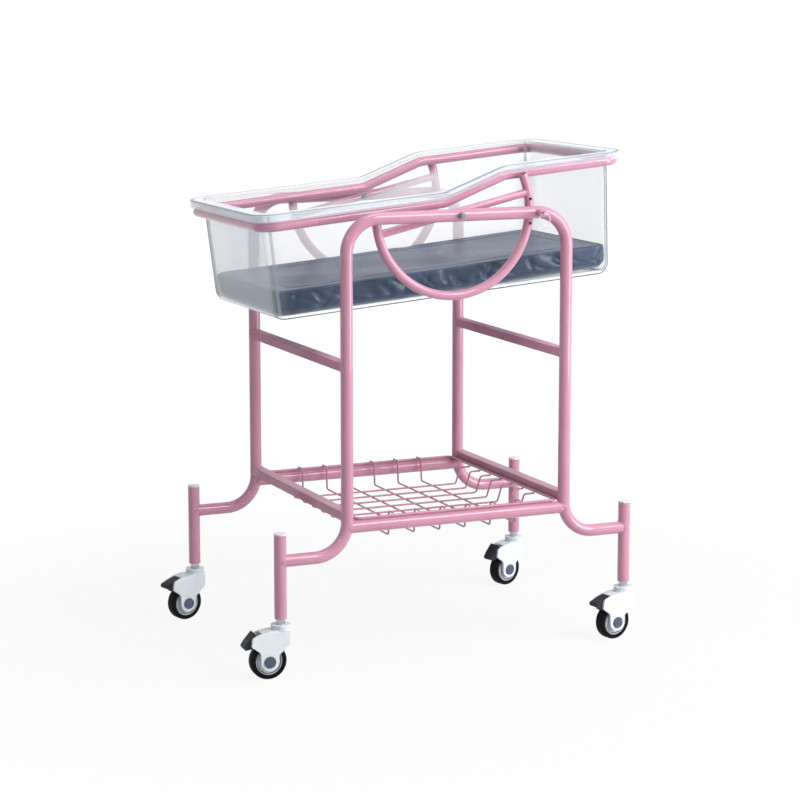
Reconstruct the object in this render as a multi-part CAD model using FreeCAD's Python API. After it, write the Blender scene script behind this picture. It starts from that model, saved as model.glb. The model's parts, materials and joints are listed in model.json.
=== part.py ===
import FreeCAD, Part
import math
import os
from FreeCAD import Vector

# Hospital bassinet: a tilting clear tub on a bent-tube trolley with four swivel casters.
# Millimetres. Everything is laid out from the floor point under the middle of the cradle's
# pivot line, and is moved at the end so that the origin is on the floor under the middle of
# the whole. +X towards the head end, +Y towards the far side, +Z up.

# ---------------------------------------------------------------- side frames
tube_d = 25.4             # frame tube, outer diameter
tube_wall = 1.5
top_z = 914.0             # middle of the top tube, which is the pivot's height
top_bend_r = 69.0
foot_bend_r = 68.0
stub_z = 238.0            # height of the stub from the leg out to the caster post
stub_len = 145.0          # leg's middle to the caster post's middle
post_bottom_z = 121.0
post_top_z = 292.0

# ---------------------------------------------------------------- bars between the frames
bar_depth = 25.0          # rectangular tube, along X
bar_height = 18.0
bar_wall = 1.5
bar_corner_r = 2.0
upper_bar_drop = 294.0    # upper bars under the top tube, middle to middle
lower_bar_z = 317.0
rail_z = 294.0            # round rail along each side, which carries the basket

# ---------------------------------------------------------------- post caps and sockets
cap_t = 3.0
cap_edge_r = 1.0
cap_spigot_len = 12.0
socket_len = 44.0

# ---------------------------------------------------------------- basket
rim_wire_d = 6.0
basket_wire_d = 4.0
basket_end_gap = 1.3      # rim wire to the legs
basket_rim_corner_r = 14.0
basket_depth = 45.0       # rim wire down to the cross wires
basket_seat_gap = 0.3
cross_wire_count = 6
cross_wire_pitch = 57.5
cross_wire_shelf = 22.0   # run from the rim wire in to the drop
cross_wire_lean = 3.0
long_wire_count = 7
long_wire_pitch = 53.0
long_wire_shelf = 24.0
long_wire_lean = 11.0
basket_bend_r = 7.0

# ---------------------------------------------------------------- cradle
tilt_rest_deg = 4.7       # head end up
cradle_tube_d = 20.0
cradle_wall = 1.5
arc_tube_d = 19.0
arc_wall = 1.5
arc_r = 170.9
arc_centre_x = 4.3        # arc's centre from the pivot
arc_centre_z = 4.2
pivot_bar_d = 16.0
bar_slope_deg = 8.0       # pivot bar, in the cradle's own frame
lock_out = 4.1            # lock holes' distance from the pivot, over the arc's radius
lock_to_bend = 1.0        # plunger to where the top tube begins to bend
lock_pitch_deg = 8.2
lock_hole_d = 6.6

# ---------------------------------------------------------------- tub
tub_half_x = 414.5        # outside of the skirt
tub_half_y = 222.8
skirt_corner_r = 51.0
skirt_t = 3.0
skirt_drop = 15.5
skirt_gap = 1.0           # ring tube to the skirt's inside
flange_t = 4.0
rim_overhang_x = 26.0     # skirt's outside to the wall's, at the rim's low part
rim_overhang_y = 27.8
wall_t = 4.0
end_draft_deg = 2.4
side_draft_deg = 1.0
wall_corner_r = 28.0
base_edge_r = 25.0
tub_base_z = -176.5       # under the pivot
rim_low_z = 43.3          # flange top over the pivot at the foot end
rim_high_z = 83.0         # and at the head end
rise_start_x = -8.9
rise_end_x = 129.5
valley_r = 42.0
crest_r = 80.0
ring_drop = 22.0          # flange top down to the middle of the ring tube, over the pivot
ring_tilt_deg = 0.57      # ring tube steeper than the flange
seat_rib_t = 3.0
seat_gap = 0.3

# ---------------------------------------------------------------- mattress
mattress_end_gap = 4.3    # to the tub's wall at its floor
mattress_side_gap = 4.2
mattress_t = 55.0
mattress_corner_r = 22.0
mattress_base_r = 20.0
mattress_top_r = 7.0
mattress_gap = 0.4

# ---------------------------------------------------------------- pivot fasteners
bolt_d = 8.0
pivot_running_gap = 0.08
bolt_head_d = 14.0
bolt_head_t = 5.0
nut_across = 13.0
nut_t = 6.5
bolt_end = 3.0            # thread past the nut
spacer_d = 16.0
spacer_len = 11.7
pivot_side_gap = 0.3

# ---------------------------------------------------------------- lock plunger
boss_d = 15.0
boss_len = 16.0
boss_end_t = 3.0
pin_d = 6.0
pin_running_gap = 0.06
pin_clear = 1.0           # drawn-back tip to the arc
pin_travel = 5.0          # from drawn back to home in a hole
pin_stop_gap = 0.5        # collar to the frame tube with the pin home
pin_out = 12.0            # pin past the boss
pin_collar_d = 9.4
pin_collar_t = 1.5
spring_wire_d = 0.8
spring_turns = 5
spring_bore_d = 10.4
ring_mean_r = 12.6
ring_wire_d = 1.3
ring_hole_d = 2.4
ring_hole_in = 3.5        # cross hole in from the pin's end

# ---------------------------------------------------------------- casters
wheel_d = 75.0
tread_w = 24.0
tread_edge_r = 5.0
tyre_depth = 9.5
trail = 28.0
axle_d = 8.0
wheel_running_gap = 0.06
hub_w = 20.0
hub_boss_d = 24.0
hub_dish = 3.0
hub_band_t = 3.0
hub_boss_step = 4.0
cheek_gap_y = 13.5        # middle plane to a cheek's inner face
cheek_t = 5.0
hub_side_gap = 0.3
axle_cap_d = 24.0
axle_cap_t = 2.6
axle_cap_edge_r = 1.0
lobe_r = 19.0
wheel_cover_gap = 3.0
housing_edge_r = 1.5
cheek_front_x = 16.0
cheek_shoulder_z = 72.0   # front edge turns in towards the axle from here
cheek_waist_z = 50.0
cheek_chin_z = 57.0
cheek_nose_x = -66.0
cheek_nose_low_z = 71.0
cheek_nose_top_x = -64.0
cheek_nose_top_z = 89.0
cheek_brow_x = -46.0
cheek_brow_z = 96.0
cheek_crown_x = -26.0
cheek_collar_lap = 1.0    # cheeks' top edge over the collar's base
cheek_tight_r = 2.0
cheek_low_r = 5.0
cheek_soft_r = 9.0
cheek_round_r = 16.0
collar_top_z = 110.0
collar_h = 11.0
collar_d = 40.0
collar_groove_t = 1.2
collar_groove_in = 1.6
stem_d = 11.0
stem_len = 38.0
stem_chamfer = 1.0
stem_shoulder_d = 18.0
swivel_pin_d = 10.0
swivel_running_gap = 0.08
swivel_head_d = 16.0
swivel_head_t = 3.0
swivel_head_z = 80.0
swivel_head_side_gap = 0.5
swivel_head_end_gap = 0.3
pedal_pivot_x = -58.0
pedal_pivot_z = 74.0
pedal_side_gap = 0.5
pedal_back_gap = 1.5      # heel to the housing's top cover
pedal_heel_x = 13.0       # the pedal's outline, released, from its pivot
pedal_heel_z = 22.0
pedal_belly_x = 6.0
pedal_belly_z = -5.0
pedal_nose_x = -22.0
pedal_nose_low_z = 2.0
pedal_nose_top_z = 9.0
pedal_brow_x = -8.0
pedal_brow_z = 15.3
pedal_heel_r = 1.0
pedal_belly_r = 3.0
pedal_nose_r = 3.2
pedal_brow_r = 8.0
trunnion_d = 6.0
trunnion_len = 3.5
trunnion_end_gap = 0.5
pedal_running_gap = 0.08
pedal_throw_deg = 32.0
brake_gap = 0.5           # brake cam to the tyre when pressed
cam_half_w = 4.0
pedal_groove_count = 5     # half-round grooves across the tread
pedal_groove_r = 0.8

# name: (end along X, side along Y, heading of the trail in degrees, pedal pressed)
casters = {
    "near_foot": (-1, -1, -4.0, True),
    "far_foot": (-1, 1, 13.0, False),
    "near_head": (1, -1, 10.0, False),
    "far_head": (1, 1, 16.0, True),
}

# ---------------------------------------------------------------- sizes that follow
tube_r = tube_d / 2
tube_bore_r = tube_r - tube_wall
rim_r = rim_wire_d / 2
wire_r = basket_wire_d / 2
basket_rim_z = rail_z + tube_r + basket_seat_gap + rim_r
upper_bar_z = top_z - upper_bar_drop
cradle_r = cradle_tube_d / 2
ring_inset = skirt_t + skirt_gap + cradle_r
ring_x = tub_half_x - ring_inset
ring_y = tub_half_y - ring_inset
ring_corner_r = skirt_corner_r - ring_inset
rise_deg = math.degrees(math.atan2(rim_high_z - rim_low_z, rise_end_x - rise_start_x))
arc_tube_r = arc_tube_d / 2
arc_y = ring_y + cradle_r + arc_tube_r
arc_outer_y = arc_y + arc_tube_r
spacer_inner_y = arc_y + pivot_bar_d / 2 + pivot_side_gap
side_y = spacer_inner_y + spacer_len + tube_r
frame_outer_y = side_y + tube_r
lock_r = arc_r + lock_out
leg_x = lock_r + lock_to_bend + top_bend_r
post_x = leg_x + stub_len
basket_rim_x = leg_x - tube_r - rim_r - basket_end_gap
wall_half_x = tub_half_x - rim_overhang_x
wall_half_y = tub_half_y - rim_overhang_y
bolt_r = bolt_d / 2
wheel_r = wheel_d / 2
axle_r = axle_d / 2
tyre_bore_r = wheel_r - tyre_depth
cheek_outer_y = cheek_gap_y + cheek_t
pin_r = pin_d / 2
pin_tip_y = arc_outer_y + pin_clear
boss_end_y = frame_outer_y + boss_len
pin_end_y = boss_end_y + pin_out
pin_collar_y = frame_outer_y + pin_stop_gap + pin_travel
collar_base_z = collar_top_z - collar_h
pedal_slot_x = pedal_pivot_x + pedal_heel_x + pedal_back_gap
overlong = 400.0          # reach of the cutting tools past what they cut


# ---------------------------------------------------------------- shared shapes
def cylinder(radius, start, end):
    return Part.makeCylinder(radius, start.distanceToPoint(end), start, end - start)


def fused(shapes):
    if len(shapes) == 1:
        return shapes[0]
    return shapes[0].multiFuse(shapes[1:]).removeSplitter()


def mirrored_y(shape):
    return shape.mirror(Vector(0, 0, 0), Vector(0, 1, 0))


def rounded_wire(points, radii, closed=True):
    """Straight runs joined by tangent arcs with the given radius at each point."""
    count = len(points)
    into = list(points)
    out_of = list(points)
    edges = []
    for i in range(count):
        if radii[i] < 0.001:
            continue
        to_last = (points[i - 1] - points[i]).normalize()
        to_next = (points[(i + 1) % count] - points[i]).normalize()
        half_turn = (math.pi - to_last.getAngle(to_next)) / 2
        reach = radii[i] * math.tan(half_turn)
        into[i] = points[i] + to_last * reach
        out_of[i] = points[i] + to_next * reach
        inward = (to_last + to_next).normalize()
        sagitta = radii[i] * (1 / math.cos(half_turn) - 1)
        middle = points[i] + inward * sagitta
        edges.append(Part.Arc(into[i], middle, out_of[i]).toShape())
    for i in range(count if closed else count - 1):
        start = out_of[i]
        end = into[(i + 1) % count]
        if start.distanceToPoint(end) > 0.001:
            edges.append(Part.makeLine(start, end))
    return Part.Wire(Part.__sortEdges__(edges))


def bent_rod(points, radii, radius, closed=False):
    """A round bar along straight runs and tangent bends."""
    path = rounded_wire(points, radii, closed)
    first = path.OrderedEdges[0]
    start = first.valueAt(first.FirstParameter)
    direction = first.tangentAt(first.FirstParameter)
    section = Part.Face(Part.Wire(Part.makeCircle(radius, start, direction)))
    return path.makePipe(section)


def bent_tube(points, radii, radius, wall, closed=False):
    outside = bent_rod(points, radii, radius, closed)
    inside = bent_rod(points, radii, radius - wall, closed)
    return outside.cut(inside)


def rectangle_wire(half_x, half_y, corner_r, z):
    corners = [
        Vector(half_x, -half_y, z),
        Vector(half_x, half_y, z),
        Vector(-half_x, half_y, z),
        Vector(-half_x, -half_y, z),
    ]
    return rounded_wire(corners, [corner_r] * 4)


def side_plate(outline, half_width):
    """An X-Z outline of (x, z, corner radius) made into a plate about the middle plane."""
    points = [Vector(x, -half_width, z) for x, z, _ in outline]
    radii = [r for _, _, r in outline]
    face = Part.Face(rounded_wire(points, radii))
    return face.extrude(Vector(0, 2 * half_width, 0))


def turned_ring(profile, centre):
    """A profile of (radius, y) points turned about the line through centre along Y."""
    points = [centre + Vector(radius, y, 0) for radius, y in profile]
    face = Part.Face(Part.makePolygon(points + [points[0]]))
    return face.revolve(centre, Vector(0, 1, 0), 360)


def in_cradle(shape):
    """From the cradle's own level frame, with the pivot at its origin, to the row frame."""
    placed = shape.copy()
    placed.rotate(Vector(0, 0, 0), Vector(0, -1, 0), tilt_rest_deg)
    placed.translate(Vector(0, 0, top_z))
    return placed


def write_nodes(nodes):
    """Move every node so that the origin is under the middle of the whole, and save it."""
    box = Part.makeCompound(list(nodes.values())).optimalBoundingBox(False)
    middle = Vector(box.Center.x, box.Center.y, 0)
    print("pivot line at x %.4f, y %.4f" % (-middle.x, -middle.y))
    os.makedirs("parts", exist_ok=True)
    for name, shape in nodes.items():
        solids = shape.Solids
        kept = solids[0] if len(solids) == 1 else Part.makeCompound(solids)
        kept.translate(middle * -1)
        kept.exportStep("parts/%s.step" % name)
        print("%-22s solids %d, valid %s" % (name, len(solids), kept.isValid()))


# ---------------------------------------------------------------- trolley
def leg_cutters():
    """The outside of every leg, which the crossbars are saddled to."""
    cutters = []
    for x in (-leg_x, leg_x):
        for y in (-side_y, side_y):
            cutters.append(cylinder(tube_r, Vector(x, y, stub_z), Vector(x, y, top_z)))
    return cutters


def post_outside(x, y):
    """The outside of a post, its seam turned to the side so that the saddle cut is clean."""
    post = cylinder(tube_r, Vector(x, y, post_bottom_z), Vector(x, y, post_top_z))
    post.rotate(Vector(x, y, 0), Vector(0, 0, 1), 90)
    return post


def frame_path(side):
    y = side * side_y
    points = [
        Vector(-post_x, y, stub_z),
        Vector(-leg_x, y, stub_z),
        Vector(-leg_x, y, top_z),
        Vector(leg_x, y, top_z),
        Vector(leg_x, y, stub_z),
        Vector(post_x, y, stub_z),
    ]
    radii = [0, foot_bend_r, top_bend_r, top_bend_r, foot_bend_r, 0]
    return points, radii


def side_frame(side):
    points, radii = frame_path(side)
    frame = bent_tube(points, radii, tube_r, tube_wall)
    cutters = [post_outside(x, side * side_y) for x in (-post_x, post_x)]
    cutters.append(cylinder(bolt_r, Vector(0, -overlong, top_z), Vector(0, overlong, top_z)))
    if side < 0:
        start = Vector(lock_r, -overlong, top_z)
        end = Vector(lock_r, 0, top_z)
        cutters.append(cylinder(pin_r + pin_running_gap, start, end))
    return frame.cut(cutters)


def caster_post(end, side):
    base = Vector(end * post_x, side * side_y, post_bottom_z)
    top = Vector(end * post_x, side * side_y, post_top_z)
    return cylinder(tube_r, base, top).cut(cylinder(tube_bore_r, base, top))


def post_cap(end, side):
    base = Vector(end * post_x, side * side_y, post_top_z)
    disc = cylinder(tube_r, base, base + Vector(0, 0, cap_t))
    top_edges = [e for e in disc.Edges if e.BoundBox.ZMin > post_top_z + cap_t / 2]
    disc = disc.makeFillet(cap_edge_r, top_edges)
    spigot = cylinder(tube_bore_r, base - Vector(0, 0, cap_spigot_len), base)
    return fused([disc, spigot])


def caster_socket(end, side):
    base = Vector(end * post_x, side * side_y, post_bottom_z)
    top = base + Vector(0, 0, socket_len)
    return cylinder(tube_bore_r, base, top).cut(cylinder(stem_d / 2, base, top))


def crossbar(x, z):
    def block(inset, corner_r):
        half_x = bar_depth / 2 - inset
        half_z = bar_height / 2 - inset
        outline = [
            Vector(x - half_x, -side_y, z - half_z),
            Vector(x + half_x, -side_y, z - half_z),
            Vector(x + half_x, -side_y, z + half_z),
            Vector(x - half_x, -side_y, z + half_z),
        ]
        face = Part.Face(rounded_wire(outline, [corner_r] * 4))
        return face.extrude(Vector(0, 2 * side_y, 0))

    bar = block(0, bar_corner_r).cut(block(bar_wall, bar_corner_r - bar_wall))
    return bar.cut(leg_cutters())


def basket_rail(side):
    """A round tube saddled to the two foot bends of its side frame, its seam on one side."""
    start = Vector(-leg_x - tube_r, side * side_y, rail_z)
    end = Vector(leg_x + tube_r, side * side_y, rail_z)
    rail = cylinder(tube_r, start, end).cut(cylinder(tube_bore_r, start, end))
    rail.rotate(start, Vector(1, 0, 0), 90)
    points, radii = frame_path(side)
    pieces = rail.cut(bent_rod(points, radii, tube_r)).Solids
    return max(pieces, key=lambda solid: solid.Volume)


# ---------------------------------------------------------------- basket
def basket_rim():
    corners = [
        Vector(-basket_rim_x, -side_y, basket_rim_z),
        Vector(basket_rim_x, -side_y, basket_rim_z),
        Vector(basket_rim_x, side_y, basket_rim_z),
        Vector(-basket_rim_x, side_y, basket_rim_z),
    ]
    return bent_rod(corners, [basket_rim_corner_r] * 4, rim_r, closed=True)


def basket_wire(reach, shelf, lean, end_z, floor_z, place):
    """A wire with both ends bent up and out to the rim. place turns (along, z) to a point."""
    drop = reach - shelf
    foot = drop - lean
    profile = [
        (-reach, end_z), (-drop, end_z), (-foot, floor_z),
        (foot, floor_z), (drop, end_z), (reach, end_z),
    ]
    points = [place(along, z) for along, z in profile]
    radii = [0] + [basket_bend_r] * 4 + [0]
    return bent_rod(points, radii, wire_r)


def cross_wires():
    end_z = basket_rim_z + rim_r + wire_r
    floor_z = basket_rim_z - basket_depth
    wires = []
    for i in range(cross_wire_count):
        x = (i - (cross_wire_count - 1) / 2) * cross_wire_pitch
        wires.append(basket_wire(
            side_y, cross_wire_shelf, cross_wire_lean, end_z, floor_z,
            lambda along, z, x=x: Vector(x, along, z)))
    return Part.makeCompound(wires)


def long_wires():
    end_z = basket_rim_z - rim_r - wire_r
    floor_z = basket_rim_z - basket_depth + basket_wire_d
    wires = []
    for i in range(long_wire_count):
        y = (i - (long_wire_count - 1) / 2) * long_wire_pitch
        wires.append(basket_wire(
            basket_rim_x, long_wire_shelf, long_wire_lean, end_z, floor_z,
            lambda along, z, y=y: Vector(along, y, z)))
    return Part.makeCompound(wires)


# ---------------------------------------------------------------- rim line of tub and ring
def rim_line(depth, tilt_deg=0.0):
    """The rim's side line, depth below the flange's top: (x, z, corner radius) points."""
    shift = depth * math.tan(math.radians(rise_deg / 2))
    far_x = tub_half_x + overlong
    line = [
        (-far_x, rim_low_z - depth, 0),
        (rise_start_x + shift, rim_low_z - depth, valley_r + depth),
        (rise_end_x + shift, rim_high_z - depth, crest_r - depth),
        (far_x, rim_high_z - depth, 0),
    ]
    turn_cos = math.cos(math.radians(tilt_deg))
    turn_sin = math.sin(math.radians(tilt_deg))
    return [(x * turn_cos - z * turn_sin, x * turn_sin + z * turn_cos, r) for x, z, r in line]


def rim_band(top_line, base_line):
    """The layer between two side lines of the rim, right across the tub."""
    return side_plate(base_line + top_line[::-1], tub_half_y + overlong)


def rim_plan(inset, height_low, height_high):
    """A block with the skirt's plan outline, moved in by inset."""
    wire = rectangle_wire(tub_half_x - inset, tub_half_y - inset, skirt_corner_r - inset,
                          height_low)
    return Part.Face(wire).extrude(Vector(0, 0, height_high - height_low))


def wall_halves(z, inset):
    """Half the tub's length and width at the height z, from its drafted walls."""
    rise = z - rim_low_z
    half_x = wall_half_x + rise * math.tan(math.radians(end_draft_deg)) - inset
    half_y = wall_half_y + rise * math.tan(math.radians(side_draft_deg)) - inset
    return half_x, half_y


def wall_block(inset, floor_z, edge_r):
    """The drafted block bounded by the tub's wall, moved in by inset."""
    def section(z):
        half_x, half_y = wall_halves(z, inset)
        return rectangle_wire(half_x, half_y, wall_corner_r - inset, z)

    top = section(rim_high_z + flange_t)
    block = Part.makeLoft([section(floor_z), top], True, True)
    base_edges = [e for e in block.Edges if e.BoundBox.ZMax < floor_z + 0.01]
    return block.makeFillet(edge_r, base_edges)


def tub():
    lowest = tub_base_z
    highest = rim_high_z + flange_t
    flange = rim_band(rim_line(0), rim_line(flange_t)).common(rim_plan(0, lowest, highest))
    skirt_ring = rim_plan(0, lowest, highest).cut(rim_plan(skirt_t, lowest, highest))
    skirt = rim_band(rim_line(0), rim_line(skirt_drop)).common(skirt_ring)
    rib_outer = ring_inset - seat_rib_t / 2
    rib_inner = ring_inset + seat_rib_t / 2
    rib_ring = rim_plan(rib_outer, lowest, highest).cut(rim_plan(rib_inner, lowest, highest))
    rib_base = rim_line(ring_drop - cradle_r - seat_gap, ring_tilt_deg)
    rib = rim_band(rim_line(flange_t / 2), rib_base).common(rib_ring)
    under_rim = rim_band(rim_line(0), rim_line(rim_high_z - tub_base_z + overlong))
    outside = wall_block(0, tub_base_z, base_edge_r).common(under_rim)
    inside = wall_block(wall_t, tub_base_z + wall_t, base_edge_r - wall_t)
    return fused([outside, flange, skirt, rib]).cut(inside)


def mattress():
    base_z = tub_base_z + wall_t + mattress_gap
    inside_x, inside_y = wall_halves(tub_base_z, wall_t)
    wire = rectangle_wire(inside_x - mattress_end_gap, inside_y - mattress_side_gap,
                          mattress_corner_r, base_z)
    pad = Part.Face(wire).extrude(Vector(0, 0, mattress_t))
    base_edges = [e for e in pad.Edges if e.BoundBox.ZMax < base_z + 0.01]
    pad = pad.makeFillet(mattress_base_r, base_edges)
    top_edges = [e for e in pad.Edges if e.BoundBox.ZMin > base_z + mattress_t - 0.01]
    return pad.makeFillet(mattress_top_r, top_edges)


# ---------------------------------------------------------------- cradle
def cradle_rim():
    _, low, high, _ = rim_line(ring_drop, ring_tilt_deg)
    foot_z = ring_z(-ring_x)
    head_z = ring_z(ring_x)
    points = []
    radii = []
    for side in (-1, 1):
        y = side * ring_y
        run = [
            Vector(-ring_x, y, foot_z),
            Vector(low[0], y, low[1]),
            Vector(high[0], y, high[1]),
            Vector(ring_x, y, head_z),
        ]
        bends = [ring_corner_r, low[2], high[2], ring_corner_r]
        points += run[::-side]
        radii += bends[::-side]
    return bent_tube(points, radii, cradle_r, cradle_wall, closed=True)


def ring_z(x):
    """Height of the ring tube's middle above the pivot, on its two straight levels."""
    start, low, high, end = rim_line(ring_drop, ring_tilt_deg)
    first, last = (start, low) if x < 0 else (high, end)
    share = (x - first[0]) / (last[0] - first[0])
    return first[1] + share * (last[1] - first[1])


def arc_sweep(radius):
    """The arc's round section turned about its centre, from the foot end to the head end."""
    centre = Vector(arc_centre_x, -arc_y, arc_centre_z)
    high_rise = ring_z(arc_r) - arc_centre_z
    low_rise = ring_z(-arc_r) - arc_centre_z
    high_deg = math.degrees(math.asin(high_rise / arc_r))
    low_deg = math.degrees(math.asin(low_rise / arc_r))
    section = Part.Face(Part.Wire(Part.makeCircle(
        radius, centre - Vector(arc_r, 0, 0), Vector(0, 0, 1))))
    section.rotate(centre, Vector(0, 1, 0), low_deg)
    return section.revolve(centre, Vector(0, -1, 0), 180 + low_deg + high_deg)


def cradle_arc(side):
    arc = arc_sweep(arc_tube_r).cut(arc_sweep(arc_tube_r - arc_wall))
    if side > 0:
        return mirrored_y(arc)
    holes = []
    for step in (-1, 0, 1):
        angle = math.radians(step * lock_pitch_deg - tilt_rest_deg)
        x = lock_r * math.cos(angle)
        z = lock_r * math.sin(angle)
        holes.append(cylinder(lock_hole_d / 2, Vector(x, -overlong, z), Vector(x, -arc_y, z)))
    return arc.cut(holes)


def pivot_bar(side):
    slope = math.radians(bar_slope_deg)
    reach = Vector(math.cos(slope), 0, math.sin(slope)) * arc_r
    middle = Vector(0, -arc_y, 0)
    bar_r = pivot_bar_d / 2
    bar = cylinder(bar_r, middle - reach, middle + reach)
    bar = bar.cut(cylinder(bar_r - arc_wall, middle - reach, middle + reach))
    hole = cylinder(bolt_r + pivot_running_gap, Vector(0, -overlong, 0), Vector(0, 0, 0))
    bar = bar.cut([arc_sweep(arc_tube_r), hole])
    kept = max(bar.Solids, key=lambda solid: solid.Volume)
    return mirrored_y(kept) if side > 0 else kept


# ---------------------------------------------------------------- pivot fasteners
def both_sides(shape):
    return Part.makeCompound([shape, mirrored_y(shape)])


def pivot_bolts():
    inside_y = arc_y - pivot_bar_d / 2 - pivot_side_gap
    outside_y = frame_outer_y + nut_t + bolt_end
    shank = cylinder(bolt_r, Vector(0, -inside_y, top_z), Vector(0, -outside_y, top_z))
    head = cylinder(bolt_head_d / 2, Vector(0, bolt_head_t - inside_y, top_z),
                    Vector(0, -inside_y, top_z))
    rim = [e for e in head.Edges if e.BoundBox.YMin > bolt_head_t / 2 - inside_y]
    head = head.makeFillet(bolt_head_t / 2, rim)
    return both_sides(fused([shank, head]))


def pivot_nuts():
    corner_r = nut_across / math.sqrt(3)
    points = []
    for i in range(7):
        angle = math.radians(60 * i)
        points.append(Vector(corner_r * math.cos(angle), -frame_outer_y,
                             top_z + corner_r * math.sin(angle)))
    nut = Part.Face(Part.makePolygon(points)).extrude(Vector(0, -nut_t, 0))
    bore = cylinder(bolt_r, Vector(0, 0, top_z), Vector(0, -overlong, top_z))
    return both_sides(nut.cut(bore))


def pivot_spacers():
    start = Vector(0, -spacer_inner_y, top_z)
    end = Vector(0, -side_y, top_z)
    frame_side = cylinder(tube_r, Vector(-overlong, -side_y, top_z),
                          Vector(overlong, -side_y, top_z))
    spacer = cylinder(spacer_d / 2, start, end).cut([cylinder(bolt_r, start, end), frame_side])
    return both_sides(spacer)


# ---------------------------------------------------------------- lock plunger
def at_plunger(y, dz=0):
    return Vector(lock_r, y, top_z + dz)


def plunger_boss():
    body = cylinder(boss_d / 2, at_plunger(-side_y), at_plunger(-boss_end_y))
    chamber = cylinder(spring_bore_d / 2, at_plunger(0), at_plunger(boss_end_t - boss_end_y))
    way_out = cylinder(pin_r + pin_running_gap, at_plunger(0), at_plunger(-overlong))
    frame_side = cylinder(tube_r, Vector(0, -side_y, top_z), Vector(overlong, -side_y, top_z))
    return body.cut([chamber, way_out, frame_side])


def lock_pin():
    pin = cylinder(pin_r, at_plunger(-pin_tip_y), at_plunger(-pin_end_y))
    collar = cylinder(pin_collar_d / 2, at_plunger(-pin_collar_y),
                      at_plunger(-pin_collar_y - pin_collar_t))
    hole_y = -(pin_end_y - ring_hole_in)
    hole = cylinder(ring_hole_d / 2, Vector(0, hole_y, top_z), Vector(overlong, hole_y, top_z))
    return fused([pin, collar]).cut(hole)


def lock_spring():
    start_y = pin_collar_y + pin_collar_t + spring_wire_d / 2
    end_y = boss_end_y - boss_end_t - spring_wire_d / 2
    mean_r = (spring_bore_d / 2 + pin_r) / 2
    length = end_y - start_y
    helix = Part.makeHelix(length / spring_turns, length, mean_r)
    section = Part.Wire(Part.makeCircle(spring_wire_d / 2, Vector(mean_r, 0, 0),
                                        Vector(0, 1, 0)))
    spring = Part.Wire(helix.Edges).makePipeShell([section], True, True)
    spring.rotate(Vector(0, 0, 0), Vector(1, 0, 0), 90)
    spring.translate(at_plunger(-start_y))
    return spring


def pull_ring():
    centre = at_plunger(-(pin_end_y - ring_hole_in), -ring_mean_r)
    return Part.makeTorus(ring_mean_r, ring_wire_d / 2, centre, Vector(0, 1, 0))


# ---------------------------------------------------------------- casters
# Each caster is made with its swivel axis on the Z axis and its trail towards -X, and is
# then turned to its heading and moved under its post.
def at_caster(shape, name):
    end, side, heading, _ = casters[name]
    placed = shape.copy()
    placed.rotate(Vector(0, 0, 0), Vector(0, 0, 1), heading)
    placed.translate(Vector(end * post_x, side * side_y, 0))
    return placed


def wheel_centre(y=0.0):
    return Vector(-trail, y, wheel_r)


def caster_stem():
    shoulder = cylinder(stem_shoulder_d / 2, Vector(0, 0, collar_top_z + swivel_running_gap),
                        Vector(0, 0, post_bottom_z))
    stem = cylinder(stem_d / 2, Vector(0, 0, post_bottom_z),
                    Vector(0, 0, post_bottom_z + stem_len))
    top = [e for e in stem.Edges if e.BoundBox.ZMin > post_bottom_z + stem_len - 0.01]
    stem = stem.makeChamfer(stem_chamfer, top)
    pin = cylinder(swivel_pin_d / 2, Vector(0, 0, swivel_head_z), Vector(0, 0, post_bottom_z))
    head = cylinder(swivel_head_d / 2, Vector(0, 0, swivel_head_z - swivel_head_t),
                    Vector(0, 0, swivel_head_z))
    return fused([stem, shoulder, pin, head])


def housing_outline():
    """The cheeks' outline seen from the side: (x, z, corner radius)."""
    lobe_left = -trail - lobe_r
    lobe_right = -trail + lobe_r
    crown_z = collar_base_z + cheek_collar_lap
    return [
        (cheek_front_x, crown_z, cheek_tight_r),
        (cheek_front_x, cheek_shoulder_z, cheek_round_r),
        (lobe_right, cheek_waist_z, cheek_soft_r),
        (lobe_right, wheel_r, 0.0),
        (lobe_left, wheel_r, 0.0),
        (lobe_left, cheek_chin_z, cheek_soft_r),
        (cheek_nose_x, cheek_nose_low_z, cheek_low_r),
        (cheek_nose_top_x, cheek_nose_top_z, cheek_soft_r),
        (cheek_brow_x, cheek_brow_z, cheek_round_r),
        (cheek_crown_x, crown_z, cheek_tight_r),
    ]


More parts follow.
